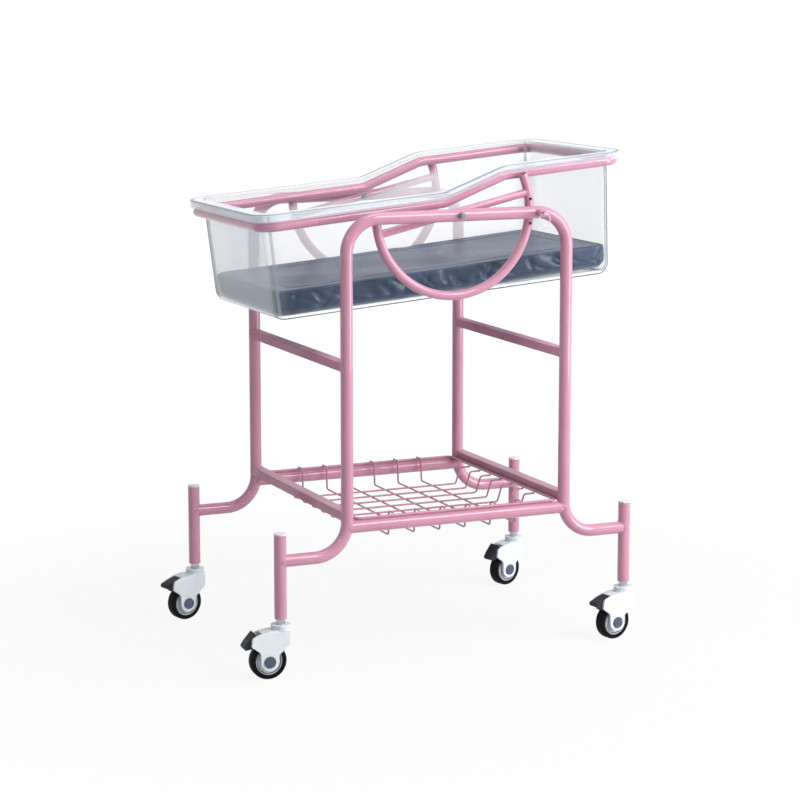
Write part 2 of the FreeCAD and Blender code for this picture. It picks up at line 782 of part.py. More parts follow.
def caster_housing():
    body = side_plate(housing_outline(), cheek_outer_y)
    lobe = cylinder(lobe_r, wheel_centre(-cheek_outer_y), wheel_centre(cheek_outer_y))
    body = fused([body, lobe])
    outer_faces = []
    for edge in body.Edges:
        box = edge.BoundBox
        if box.YLength < 0.01 and abs(abs(box.YMin) - cheek_outer_y) < 0.01:
            outer_faces.append(edge)
    body = body.makeFillet(housing_edge_r, outer_faces)
    collar = cylinder(collar_d / 2, Vector(0, 0, collar_base_z), Vector(0, 0, collar_top_z))
    groove_z = (collar_base_z + collar_top_z) / 2
    groove_r = collar_d / 2 - collar_groove_in
    groove = cylinder(collar_d, Vector(0, 0, groove_z), Vector(0, 0, groove_z + collar_groove_t))
    groove = groove.cut(cylinder(groove_r, Vector(0, 0, groove_z),
                                 Vector(0, 0, groove_z + collar_groove_t)))
    body = fused([body, collar.cut(groove)])
    cover_r = wheel_r + wheel_cover_gap
    wheel_well = cylinder(cover_r, wheel_centre(-cheek_gap_y), wheel_centre(cheek_gap_y))
    below = Part.makeBox(2 * cover_r, 2 * cheek_gap_y, wheel_r,
                         Vector(-trail - cover_r, -cheek_gap_y, 0))
    pedal_slot = Part.makeBox(overlong, 2 * cheek_gap_y, overlong,
                              Vector(pedal_slot_x - overlong, -cheek_gap_y, 0))
    bore = cylinder(swivel_pin_d / 2 + swivel_running_gap, Vector(0, 0, 0),
                    Vector(0, 0, overlong))
    counterbore = cylinder(swivel_head_d / 2 + swivel_head_side_gap, Vector(0, 0, 0),
                           Vector(0, 0, swivel_head_z + swivel_head_end_gap))
    axle_hole = cylinder(axle_r, wheel_centre(-overlong), wheel_centre(overlong))
    reach = cheek_gap_y + trunnion_len
    trunnion_hole = cylinder(trunnion_d / 2 + pedal_running_gap,
                             Vector(pedal_pivot_x, -reach, pedal_pivot_z),
                             Vector(pedal_pivot_x, reach, pedal_pivot_z))
    return body.cut([wheel_well, below, pedal_slot, bore, counterbore, axle_hole,
                     trunnion_hole])


def caster_axle():
    return cylinder(axle_r, wheel_centre(-cheek_outer_y), wheel_centre(cheek_outer_y))


def axle_caps():
    caps = []
    for side in (-1, 1):
        inner = wheel_centre(side * cheek_outer_y)
        outer = wheel_centre(side * (cheek_outer_y + axle_cap_t))
        cap = cylinder(axle_cap_d / 2, inner, outer)
        outer_y = outer.y
        rim = [e for e in cap.Edges
               if e.BoundBox.YLength < 0.01 and abs(e.BoundBox.YMin - outer_y) < 0.01]
        caps.append(cap.makeFillet(axle_cap_edge_r, rim))
    return Part.makeCompound(caps)


def caster_tyre():
    half = tread_w / 2
    tyre = cylinder(wheel_r, wheel_centre(-half), wheel_centre(half))
    rims = [e for e in tyre.Edges if e.BoundBox.YLength < 0.01]
    tyre = tyre.makeFillet(tread_edge_r, rims)
    return tyre.cut(cylinder(tyre_bore_r, wheel_centre(-half), wheel_centre(half)))


def caster_hub():
    """Rim band, dished web and centre boss, stepped in rings on both sides."""
    half = hub_w / 2
    boss_y = cheek_gap_y - hub_side_gap
    boss_r = hub_boss_d / 2
    bore_r = axle_r + wheel_running_gap
    band_r = tyre_bore_r - hub_band_t
    lip_r = boss_r - hub_boss_step
    step_r = (band_r + boss_r) / 2
    web_y = half - hub_dish
    step_y = half - hub_dish / 2
    profile = [
        (bore_r, -boss_y), (lip_r, -boss_y), (lip_r, -step_y), (boss_r, -step_y),
        (boss_r, -web_y), (step_r, -web_y), (step_r, -step_y), (band_r, -step_y),
        (band_r, -half), (tyre_bore_r, -half),
    ]
    mirrored = [(radius, -y) for radius, y in reversed(profile)]
    return turned_ring(profile + mirrored, wheel_centre())


def pedal_outline():
    """The released pedal seen from the side: (x, z, corner radius)."""
    from_pivot = [
        (pedal_heel_x, pedal_heel_z, pedal_heel_r),
        (pedal_belly_x, pedal_belly_z, pedal_belly_r),
        (-pedal_belly_x, pedal_belly_z, pedal_belly_r),
        (pedal_nose_x, pedal_nose_low_z, pedal_nose_r),
        (pedal_nose_x, pedal_nose_top_z, pedal_nose_r),
        (pedal_brow_x, pedal_brow_z, pedal_brow_r),
    ]
    return [(pedal_pivot_x + x, pedal_pivot_z + z, r) for x, z, r in from_pivot]


def brake_pedal(name):
    half = cheek_gap_y - pedal_side_gap
    pedal = side_plate(pedal_outline(), half)
    pivot = Vector(pedal_pivot_x, 0, pedal_pivot_z)
    to_wheel = wheel_centre() - pivot
    cam_len = to_wheel.Length - wheel_r - brake_gap
    cam_dir = FreeCAD.Rotation(Vector(0, 1, 0), pedal_throw_deg).multVec(to_wheel.normalize())
    cam_base = pivot - Vector(0, half, 0)
    cam = Part.makeBox(2 * cam_half_w, 2 * half, cam_len, Vector(-cam_half_w, -half, -cam_len))
    cam = cam.common(Part.makeCylinder(cam_len, 2 * half, Vector(0, -half, 0), Vector(0, 1, 0)))
    cam_angle = math.degrees(math.atan2(-cam_dir.x, -cam_dir.z))
    cam.rotate(Vector(0, 0, 0), Vector(0, 1, 0), cam_angle)
    cam.translate(Vector(cam_base.x, 0, cam_base.z))
    reach = cheek_gap_y + trunnion_len - trunnion_end_gap
    trunnions = cylinder(trunnion_d / 2, pivot - Vector(0, reach, 0), pivot + Vector(0, reach, 0))
    pedal = fused([pedal, cam, trunnions])
    toe = Vector(pedal_outline()[-1][0], 0, pedal_outline()[-1][1])
    heel = Vector(pedal_outline()[0][0], 0, pedal_outline()[0][1])
    across = Vector(0, overlong, 0)
    grooves = []
    for i in range(pedal_groove_count):
        middle = toe + (heel - toe) * ((i + 1) / (pedal_groove_count + 1))
        grooves.append(cylinder(pedal_groove_r, middle - across, middle + across))
    pedal = pedal.cut(grooves)
    if casters[name][3]:
        pedal.rotate(pivot, Vector(0, -1, 0), pedal_throw_deg)
    return pedal


# ---------------------------------------------------------------- all nodes
def main():
    nodes = {
        "side_frame_near": side_frame(-1),
        "side_frame_far": side_frame(1),
        "basket_rim": basket_rim(),
        "basket_cross_wires": cross_wires(),
        "basket_long_wires": long_wires(),
        "cradle_rim": in_cradle(cradle_rim()),
        "tub": in_cradle(tub()),
        "mattress": in_cradle(mattress()),
        "pivot_bolts": pivot_bolts(),
        "pivot_nuts": pivot_nuts(),
        "pivot_spacers": pivot_spacers(),
        "plunger_boss": plunger_boss(),
        "lock_pin": lock_pin(),
        "lock_spring": lock_spring(),
        "pull_ring": pull_ring(),
    }
    for name, (end, side, _, _) in casters.items():
        nodes["caster_post_" + name] = caster_post(end, side)
    ends = [(end, side) for end, side, _, _ in casters.values()]
    nodes["post_caps"] = Part.makeCompound([post_cap(end, side) for end, side in ends])
    nodes["caster_sockets"] = Part.makeCompound([caster_socket(end, side) for end, side in ends])
    for end_name, x in (("foot", -leg_x), ("head", leg_x)):
        nodes["upper_crossbar_" + end_name] = crossbar(x, upper_bar_z)
        nodes["lower_crossbar_" + end_name] = crossbar(x, lower_bar_z)
    for side_name, side in (("near", -1), ("far", 1)):
        nodes["basket_rail_" + side_name] = basket_rail(side)
        nodes["cradle_arc_" + side_name] = in_cradle(cradle_arc(side))
        nodes["pivot_bar_" + side_name] = in_cradle(pivot_bar(side))
    stem = caster_stem()
    nodes["caster_stems"] = Part.makeCompound([at_caster(stem, name) for name in casters])
    housing = caster_housing()
    axle = caster_axle()
    caps = axle_caps()
    tyre = caster_tyre()
    hub = caster_hub()
    for name in casters:
        nodes["housing_" + name] = at_caster(housing, name)
        nodes["axle_" + name] = at_caster(axle, name)
        nodes["axle_caps_" + name] = at_caster(caps, name)
        nodes["tyre_" + name] = at_caster(tyre, name)
        nodes["hub_" + name] = at_caster(hub, name)
        nodes["pedal_" + name] = at_caster(brake_pedal(name), name)
    write_nodes(nodes)


main()
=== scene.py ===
import json
import math

import bpy
import numpy as np
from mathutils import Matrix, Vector
from mathutils.bvhtree import BVHTree


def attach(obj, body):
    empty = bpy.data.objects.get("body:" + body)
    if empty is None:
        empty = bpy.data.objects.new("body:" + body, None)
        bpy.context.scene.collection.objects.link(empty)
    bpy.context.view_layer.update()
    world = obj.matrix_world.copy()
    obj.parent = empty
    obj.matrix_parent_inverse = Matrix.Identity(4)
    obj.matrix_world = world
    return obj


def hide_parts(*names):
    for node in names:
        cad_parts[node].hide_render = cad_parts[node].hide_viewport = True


# Hospital bassinet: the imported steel, plastic and rubber parts get their finishes here, and the
# mattress, its piping and the weld beads are made here. Metres, +X to the head end, +Z up.
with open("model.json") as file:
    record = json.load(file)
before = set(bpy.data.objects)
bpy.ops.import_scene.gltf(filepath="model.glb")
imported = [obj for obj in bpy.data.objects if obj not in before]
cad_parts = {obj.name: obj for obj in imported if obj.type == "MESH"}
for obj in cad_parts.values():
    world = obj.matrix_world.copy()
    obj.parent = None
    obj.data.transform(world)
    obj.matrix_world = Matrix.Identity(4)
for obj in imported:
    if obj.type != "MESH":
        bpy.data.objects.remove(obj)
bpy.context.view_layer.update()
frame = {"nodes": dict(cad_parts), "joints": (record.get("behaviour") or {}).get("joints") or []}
scene = bpy.context.scene
nodes = frame["nodes"]
joints = {joint["name"]: joint for joint in frame["joints"]}
PIVOT = np.array(joints["cradle_tilt"]["pos_m"])
REST_TILT = math.radians(4.7)
# The tub in the cradle's level frame, about the pivot. Its walls lean outwards, and its rim
# climbs between the rise's two ends.
TUB_HALF_X = 0.4145
TUB_HALF_Y = 0.2228
TUB_BASE_Z = -0.1765
SKIRT_CORNER_R = 0.051
WALL_HALF_X = 0.3885
WALL_HALF_Y = 0.195
WALL_CORNER_R = 0.028
WALL_LEAN_X = math.tan(math.radians(2.4))
WALL_LEAN_Y = math.tan(math.radians(1.0))
RIM_LOW_Z = 0.0433
RIM_HIGH_Z = 0.083
RIM_LOW_BEND = 0.0025
RIM_HIGH_BEND = 0.0047
RIM_LINE_INSET = 0.003
RISE_START_X = -0.0089
RISE_END_X = 0.1295
CASTER_HEADINGS = {"near_foot": -4.0, "far_foot": 13.0, "near_head": 10.0, "far_head": 16.0}


# ---------------------------------------------------------------- camera, light, floor
CAMERA_YAW = 0.4164
CAMERA_PITCH = 0.1684
CAMERA_DISTANCE = 5.2221
CAMERA_SENSOR = 36.0
CAMERA_LENS = 110.22
TARGET_BEFORE_PIVOT = 0.0135
TARGET_Z = 0.4977
# Each lamp: its name, place, aim, width, height and watts.
LAMPS = (("key", (2.25, -2.0, 1.25), (0, 0, 0.75), 1.2, 2.3, 70),
         ("front", (1.5, -2.9, 3.0), (0, 0, 0.6), 1.2, 1.2, 52),
         ("top", (0.2, -0.3, 3.4), (0, 0, 0.5), 1.6, 1.2, 27),
         ("left", (-3.0, -1.9, 2.6), (0, 0, 0.7), 0.55, 0.55, 15))
FLOOR_HALF = 14.0
# The floor turns from shadow catcher to plain white between these distances from the middle.
FLOOR_FADE = (0.7, 1.7)
WHITE = (1.0, 1.0, 1.0, 1.0)


def place_camera():
    """The camera stands back from the target along a yaw and a pitch."""
    target = Vector((PIVOT[0] - TARGET_BEFORE_PIVOT, PIVOT[1], TARGET_Z))
    level = math.cos(CAMERA_PITCH)
    back = Vector((-math.sin(CAMERA_YAW) * level, -math.cos(CAMERA_YAW) * level,
                   math.sin(CAMERA_PITCH)))
    data = bpy.data.cameras.new("camera")
    data.sensor_width = CAMERA_SENSOR
    data.lens = CAMERA_LENS
    camera = bpy.data.objects.new("camera", data)
    camera.location = target + back * CAMERA_DISTANCE
    camera.rotation_euler = (-back).to_track_quat("-Z", "Y").to_euler()
    scene.collection.objects.link(camera)
    scene.camera = camera


def soft_box(name, place, aim, width, height, power):
    """A rectangular area lamp at place, turned towards aim."""
    data = bpy.data.lights.new(name, "AREA")
    data.shape = "RECTANGLE"
    data.size = width
    data.size_y = height
    data.energy = power
    lamp = bpy.data.objects.new(name, data)
    lamp.visible_camera = False
    lamp.location = place
    lamp.rotation_euler = (Vector(aim) - Vector(place)).to_track_quat("-Z", "Y").to_euler()
    scene.collection.objects.link(lamp)


# ---------------------------------------------------------------- shader arithmetic
class Wire:
    """A node's output socket. Arithmetic on it adds Math nodes to its finish's tree."""

    def __init__(self, finish, socket):
        self.finish = finish
        self.socket = socket

    def maths(self, operation, first, second):
        """The output of a Math node on two wires or numbers."""
        return self.finish.wire("ShaderNodeMath", {"operation": operation},
                                {0: first, 1: second})

    def __add__(self, other):
        return self.maths("ADD", self, other)

    def __radd__(self, other):
        return self.maths("ADD", other, self)

    def __sub__(self, other):
        return self.maths("SUBTRACT", self, other)

    def __rsub__(self, other):
        return self.maths("SUBTRACT", other, self)

    def __mul__(self, other):
        return self.maths("MULTIPLY", self, other)

    def __rmul__(self, other):
        return self.maths("MULTIPLY", other, self)

    def __pow__(self, other):
        return self.maths("POWER", self, other)

    def __abs__(self):
        return self.maths("ABSOLUTE", self, 0.0)

    def at_most(self, other):
        """The smaller of this and the other."""
        return self.maths("MINIMUM", self, other)

    def at_least(self, other):
        """The larger of this and the other."""
        return self.maths("MAXIMUM", self, other)


class Finish:
    """A node tree under construction, for a material or the world."""

    def __init__(self, owner):
        self.owner = owner
        owner.use_nodes = True
        self.tree = owner.node_tree
        self.tree.nodes.clear()

    def node(self, kind, settings=None, sockets=None):
        """Adds a node, makes its settings, then gives its sockets values or links."""
        made = self.tree.nodes.new(kind)
        for name, value in (settings or {}).items():
            setattr(made, name, value)
        for name, value in (sockets or {}).items():
            if isinstance(value, Wire):
                self.tree.links.new(value.socket, made.inputs[name])
            else:
                made.inputs[name].default_value = value
        return made

    def wire(self, kind, settings=None, sockets=None, output=0):
        """One output of a new node."""
        return Wire(self, self.node(kind, settings, sockets).outputs[output])

    def place(self, origin=(0.0, 0.0, 0.0), turn=(0.0, 0.0, 0.0)):
        """Object coordinates in a frame with this origin and turn."""
        coordinates = self.wire("ShaderNodeTexCoord", output="Object")
        return self.wire("ShaderNodeMapping", {"vector_type": "TEXTURE"},
                         {"Vector": coordinates, "Location": origin, "Rotation": turn})

    def parts(self, vector):
        """The x, y and z of a vector."""
        split = self.node("ShaderNodeSeparateXYZ", None, {0: vector})
        return [Wire(self, split.outputs[i]) for i in range(3)]

    def stretched(self, vector, scale):
        """A vector times one scale for each axis."""
        return self.wire("ShaderNodeVectorMath", {"operation": "MULTIPLY"},
                         {0: vector, 1: scale})

    def noise(self, vector, scale, detail=2.0, roughness=0.5, distortion=0.0):
        """Noise from 0 to 1, its scale in cells per metre."""
        return self.wire("ShaderNodeTexNoise", None, {
            "Vector": vector, "Scale": scale, "Detail": detail, "Roughness": roughness,
            "Distortion": distortion})

    def step(self, value, low, high):
        """0 below low, 1 above high, smooth between."""
        return self.wire("ShaderNodeMapRange", {"interpolation_type": "SMOOTHSTEP"}, {
            "Value": value, "From Min": low, "From Max": high})

    def mix(self, share, first, second):
        """The first colour where share is 0, the second where it is 1."""
        made = self.node("ShaderNodeMix", {"data_type": "RGBA"}, {0: share})
        for socket, colour in ((6, first), (7, second)):
            if isinstance(colour, Wire):
                self.tree.links.new(colour.socket, made.inputs[socket])
            else:
                made.inputs[socket].default_value = (*colour, 1.0)
        return Wire(self, made.outputs[2])

    def bump(self, height, strength, distance):
        """A normal that follows the height."""
        return self.wire("ShaderNodeBump", None, {
            "Height": height, "Strength": strength, "Distance": distance})

    def surface(self, **sockets):
        """A Principled surface on the output. Names have _ for a space."""
        named = {name.replace("_", " "): value for name, value in sockets.items()}
        shader = self.wire("ShaderNodeBsdfPrincipled", None, named)
        self.node("ShaderNodeOutputMaterial", None, {"Surface": shader})
        return self.owner


def new_finish(name):
    """A finish for a new material of this name."""
    return Finish(bpy.data.materials.new(name))


def backdrop_rays(finish):
    """1 for the rays that look at the backdrop, straight, mirrored or through glass."""
    path = finish.node("ShaderNodeLightPath")
    camera = Wire(finish, path.outputs["Is Camera Ray"])
    glossy = Wire(finish, path.outputs["Is Glossy Ray"])
    through = Wire(finish, path.outputs["Is Transmission Ray"])
    return (camera + glossy + through).at_most(1.0)


def light_studio():
    """A pale surround, brighter at the right than at the left, that shows plain white behind
    the object; a tall soft box at the right, a high one in front, one overhead and a small
    one at the left."""
    world = bpy.data.worlds.new("studio")
    scene.world = world
    finish = Finish(world)
    x, y, _ = finish.parts(finish.wire("ShaderNodeTexCoord", output="Generated"))
    rightward = x * math.cos(CAMERA_YAW) - y * math.sin(CAMERA_YAW)
    ambient = finish.wire("ShaderNodeBackground", None, {
        "Color": WHITE, "Strength": 0.20 + 0.28 * finish.step(rightward, -0.8, 0.8)})
    white = finish.wire("ShaderNodeBackground", None, {"Color": WHITE, "Strength": 1.0})
    shown = finish.wire("ShaderNodeMixShader", None,
                        {0: backdrop_rays(finish), 1: ambient, 2: white})
    finish.node("ShaderNodeOutputWorld", None, {"Surface": shown})
    for lamp in LAMPS:
        soft_box(*lamp)


def lay_floor():
    """A pale floor that shows plain white with the object's soft shadow. Away from the object
    it fades into the backdrop's white."""
    corners = [(x * FLOOR_HALF, y * FLOOR_HALF, 0)
               for x, y in ((-1, -1), (1, -1), (1, 1), (-1, 1))]
    mesh = bpy.data.meshes.new("floor")
    mesh.from_pydata(corners, [], [(0, 1, 2, 3)])
    floor = bpy.data.objects.new("floor", mesh)
    scene.collection.objects.link(floor)
    finish = new_finish("pale_floor")
    x, y, _ = finish.parts(finish.place())
    away = finish.step((x * x + y * y) ** 0.5, *FLOOR_FADE)
    matte = finish.wire("ShaderNodeBsdfDiffuse", None, {"Color": (0.62, 0.62, 0.63, 1.0)})
    glow = finish.wire("ShaderNodeEmission", None, {"Color": WHITE, "Strength": 1.02})
    shown = finish.wire("ShaderNodeMixShader", None, {
        0: backdrop_rays(finish) * (0.88 + 0.12 * away), 1: matte, 2: glow})
    finish.node("ShaderNodeOutputMaterial", None, {"Surface": shown})
    mesh.materials.append(finish.owner)


# ---------------------------------------------------------------- finishes
TREAD_START_R = 0.0355
TREAD_R = 0.0372
# Pairs of radii over which a mark on the hub comes in or fades out.
GROOVE_INNER_R = (0.0225, 0.0245)
GROOVE_OUTER_R = (0.0252, 0.0262)
BAND_R = (0.0255, 0.0279)
DUST_PINK = (0.70, 0.42, 0.52)


def enamel(name, base=(0.60, 0.275, 0.390), shade=(0.52, 0.225, 0.330), gloss=1.0,
           specular=0.12):
    """Gloss pink stove enamel: slight tone drift, flow ripple and fine dust in the coat."""
    finish = new_finish(name)
    at = finish.place()
    drift = finish.noise(at, 9.0, 3.0)
    speck = finish.noise(at, 900.0, 1.0)
    ripple = finish.noise(at, 160.0, 2.0)
    tone = finish.mix(finish.step(drift, 0.35, 0.7) * 0.5, base, shade)
    colour = finish.mix(finish.step(speck, 0.66, 0.74) * 0.25, tone, DUST_PINK)
    return finish.surface(
        Base_Color=colour,
        Roughness=0.34 + 0.10 * finish.step(drift, 0.4, 0.7),
        Specular_IOR_Level=specular,
        Coat_Weight=gloss, Coat_Roughness=0.09,
        Normal=finish.bump(ripple + 0.3 * speck, 0.10, 0.0006))


def zinc(name, tint=(0.46, 0.48, 0.52)):
    """Zinc on turned steel: fine turning marks and a cloudy passivation."""
    finish = new_finish(name)
    at = finish.place()
    cloud = finish.noise(at, 60.0, 3.0)
    marks = finish.noise(finish.stretched(at, (1.0, 6.0, 6.0)), 500.0, 2.0)
    colour = finish.mix(finish.step(cloud, 0.35, 0.7), tint, (0.34, 0.37, 0.42))
    return finish.surface(
        Base_Color=colour, Metallic=1.0,
        Roughness=0.22 + 0.22 * finish.step(marks, 0.3, 0.75),
        Normal=finish.bump(marks, 0.15, 0.0003))


def moulded(name, base, shade, roughness, grain=700.0, relief=0.12, specular=0.5):
    """Moulded plastic: faint flow shading, a fine grain and rubbed patches."""
    finish = new_finish(name)
    at = finish.place()
    flow = finish.noise(finish.stretched(at, (1.0, 1.0, 0.5)), 24.0, 3.0)
    fine = finish.noise(at, grain, 2.0)
    colour = finish.mix(finish.step(flow, 0.35, 0.72), base, shade)
    return finish.surface(
        Base_Color=colour,
        Roughness=roughness + 0.10 * finish.step(flow, 0.45, 0.7) + 0.05 * fine,
        Specular_IOR_Level=specular,
        Normal=finish.bump(fine, relief, 0.0003))


def wheel_frame(finish, caster):
    """A caster's points as distances from its wheel's axle, and in the wheel's own frame."""
    turn = (0.0, 0.0, math.radians(CASTER_HEADINGS[caster]))
    at = finish.place(joints["roll_" + caster]["pos_m"], turn)
    x, _, z = finish.parts(at)
    return (x * x + z * z) ** 0.5, at


def tyre_finish(caster):
    """Black polyurethane: fine grain and a rougher, dusty tread."""
    finish = new_finish("tyre_black_" + caster)
    radius, at = wheel_frame(finish, caster)
    fine = finish.noise(at, 650.0, 2.0)
    dust = finish.noise(at, 45.0, 3.0)
    tread = finish.step(radius, TREAD_START_R, TREAD_R)
    colour = finish.mix(tread * finish.step(dust, 0.4, 0.75) * 0.6,
                        (0.004, 0.005, 0.007), (0.016, 0.017, 0.020))
    return finish.surface(
        Base_Color=colour, Roughness=0.34 + 0.22 * tread + 0.08 * dust,
        Specular_IOR_Level=0.08,
        Normal=finish.bump(fine, 0.15, 0.0004))


def hub_finish(caster):
    """Pale grey hub: a dark ring of painted shade in the groove round it and a greyer band by the
    tyre.
    """
    finish = new_finish("hub_grey_" + caster)
    radius, at = wheel_frame(finish, caster)
    fine = finish.noise(at, 500.0, 2.0)
    # Painted shade: a dark ring where the groove runs round the hub.
    groove_painted_shade = (finish.step(radius, *GROOVE_INNER_R)
              * (1.0 - finish.step(radius, *GROOVE_OUTER_R)))
    outer = finish.step(radius, *BAND_R)
    colour = finish.mix(outer, (0.74, 0.78, 0.82), (0.42, 0.45, 0.50))
    colour = finish.mix(groove_painted_shade * 0.85, colour, (0.05, 0.055, 0.07))
    return finish.surface(
        Base_Color=colour, Roughness=0.28 + 0.1 * fine,
        Normal=finish.bump(fine, 0.08, 0.0003))


# Ranges over which a mark on the tub comes in. Distances from the wall's outline:
RIM_RANGE = (0.0004, 0.0012)
EDGE_RANGE = (-0.022, -0.016)
# From the grey line of painted shade on the rim:
LINE_RANGE = (0.0026, 0.0042)
# Past a corner's centre, and between the corner's two reaches:
CORNER_RANGE = (0.003, 0.006)
ROUNDED_RANGE = (0.0, 0.002)
CORNER_MIDDLE_RANGE = (0.002, 0.007)
# For the painted reflection haze, towards the far wall, towards the foot end and below the rim:
FAR_PAINTED_HAZE_RANGE = (0.14, 0.18)
END_PAINTED_HAZE_RANGE = (0.35, 0.37)
PAINTED_HAZE_DEPTH_RANGE = (0.030, 0.060)
# Above the base:
FOOT_RANGE = (0.0075, 0.0115)
LOW_RANGE = (0.006, 0.012)
# How much the surface turns away from the eye:
TURNED_RANGE = (0.50, 0.68)


def outline_distance(x, y, half_x, half_y, corner):
    """How far a point stands outside a rounded rectangle, and its two reaches past the
    corner's centre: the root of the reaches' squares, less the corner's radius."""
    over_x = (abs(x) - (half_x - corner)).at_least(0.0)
    over_y = (abs(y) - (half_y - corner)).at_least(0.0)
    return (over_x * over_x + over_y * over_y) ** 0.5 - corner, over_x, over_y


def below_rim(finish, x, z):
    """Depth under the rim's top, which is level, climbs along a ramp and is level again; a
    smooth maximum and a smooth minimum round its two bends."""
    slope = (RIM_HIGH_Z - RIM_LOW_Z) / (RISE_END_X - RISE_START_X)
    ramp = (x - RISE_START_X) * slope + RIM_LOW_Z
    above = finish.wire("ShaderNodeMath", {"operation": "SMOOTH_MAX"},
                        {0: ramp, 1: RIM_LOW_Z, 2: RIM_LOW_BEND})
    top = finish.wire("ShaderNodeMath", {"operation": "SMOOTH_MIN"},
                      {0: above, 1: RIM_HIGH_Z, 2: RIM_HIGH_BEND})
    return top - z


def clear_plastic():
    """Clear tub: nearly unseen face on and paler aslant, with a milky rim and a grey line of
    painted shade on it, grey lines of painted shade down the corners, dark outlines of painted
    shade where a rounded edge turns away, a faint painted glow that is bright at the foot, and a
    painted reflection haze in the far wall and the foot end's."""
    finish = new_finish("clear_tub_plastic")
    at = finish.place(PIVOT, (0.0, -REST_TILT, 0.0))
    x, y, z = finish.parts(at)
    cloud = finish.noise(at, 7.0, 2.0)
    scuffs = finish.noise(finish.stretched(at, (1.0, 1.0, 5.0)), 70.0, 3.0)
    facing = finish.wire("ShaderNodeLayerWeight", None, {"Blend": 0.5}, output="Facing")
    rise = z - RIM_LOW_Z
    from_wall, over_x, over_y = outline_distance(
        x, y, WALL_HALF_X + rise * WALL_LEAN_X, WALL_HALF_Y + rise * WALL_LEAN_Y,
        WALL_CORNER_R)
    from_skirt, _, _ = outline_distance(x, y, TUB_HALF_X, TUB_HALF_Y, SKIRT_CORNER_R)
    depth = below_rim(finish, x, z)
    above_base = z - TUB_BASE_Z
    in_corner = over_x.at_most(over_y)

    rim = finish.step(from_wall, *RIM_RANGE)
    wall = 1.0 - rim
    from_line = from_skirt + RIM_LINE_INSET
    # A grey line of painted shade along the rim, near the skirt's edge.
    rim_line_painted_shade = 1.0 - finish.step((from_line * from_line + depth * depth) ** 0.5, *LINE_RANGE)
    # Grey lines of painted shade down the wall's corners.
    corner_line_painted_shade = (finish.step(in_corner, *CORNER_RANGE) * wall
                   * (1.0 - finish.step(abs(over_x - over_y), *CORNER_MIDDLE_RANGE)))
    # Painted reflection haze: a paler veil in the far wall below the rim and in the foot end.
    painted_reflection_haze = (finish.step(y, *FAR_PAINTED_HAZE_RANGE) * finish.step(depth, *PAINTED_HAZE_DEPTH_RANGE)
            + 0.2 * finish.step(0.0 - x, *END_PAINTED_HAZE_RANGE)) * wall
    at_edge = finish.step(from_wall, *EDGE_RANGE)
    # Painted glow: a bright band along the tub's foot.
    foot = (1.0 - finish.step(above_base, *FOOT_RANGE)) * at_edge
    low = 1.0 - finish.step(above_base, *LOW_RANGE)
    rounded = finish.step(in_corner, *ROUNDED_RANGE).at_least(low) * at_edge
    # Dark outlines of painted shade where the rounded edges turn away from the eye.
    outline = finish.step(facing, *TURNED_RANGE) * rounded * wall
    alpha = (0.008 + 0.010 * cloud + 0.30 * painted_reflection_haze + 0.15 * rim + 0.74 * facing ** 2.6
             + 0.75 * rim_line_painted_shade + 0.34 * corner_line_painted_shade + 0.7 * foot + 0.4 * outline)

    colour = finish.mix(finish.step(y, 0.0, 0.1), (0.84, 0.92, 1.0), (0.96, 0.97, 0.98))
    colour = finish.mix(corner_line_painted_shade * 0.8, colour, (0.42, 0.42, 0.52))
    colour = finish.mix(outline * 0.95, colour, (0.07, 0.075, 0.09))
    colour = finish.mix(rim_line_painted_shade, colour, (0.16, 0.19, 0.23))
    # Painted glow: faint over the whole tub, bright at the foot, and none on the painted shade
    # lines.
    glow = finish.mix(foot, (0.080, 0.090, 0.100), (0.64, 0.65, 0.66))
    glow = finish.mix(outline.at_least(rim_line_painted_shade), glow, (0.0, 0.0, 0.0))
    return finish.surface(
        Base_Color=colour,
        Roughness=0.05 + 0.08 * finish.step(scuffs, 0.55, 0.8),
        Specular_IOR_Level=0.10,
        Emission_Color=glow, Emission_Strength=1.0,
        Alpha=alpha.at_most(1.0),
        Normal=finish.bump(cloud, 0.03, 0.002))


def navy_cloth():
    """Coated navy cloth: fine grain, creases with paler painted highlights along them, soft
    blotches and a satin gloss.
    """
    finish = new_finish("navy_coated_cloth")
    at = finish.place(PIVOT, (0.0, -REST_TILT, 0.0))
    blotch = finish.noise(at, 11.0, 3.0)
    crease_and_painted_highlight = finish.noise(finish.stretched(at, (1.0, 1.0, 1.6)), 30.0, 3.0, 0.6, 0.6)
    grain = finish.noise(at, 420.0, 2.0)
    tone = finish.mix(finish.step(blotch, 0.35, 0.7), (0.010, 0.026, 0.066),
                      (0.017, 0.040, 0.092))
    # Paler colour along the creases: a painted highlight.
    colour = finish.mix(finish.step(crease_and_painted_highlight, 0.52, 0.72) * 0.6, tone, (0.046, 0.088, 0.155))
    return finish.surface(
        Base_Color=colour,
        Roughness=0.36 + 0.12 * blotch,
        Specular_IOR_Level=0.35, Specular_Tint=(0.72, 0.84, 1.0, 1.0),
        Coat_Weight=0.24, Coat_Roughness=0.22,
        Normal=finish.bump(crease_and_painted_highlight + grain * 0.03, 0.30, 0.004))


def dress(finish, *names):
    """Gives the finish to every slot of the named nodes."""
    for name in names:
        for slot in nodes[name].material_slots:
            slot.material = finish


def per_caster(piece):
    """The names of the four casters' nodes of one kind."""
    return [piece + "_" + name for name in CASTER_HEADINGS]


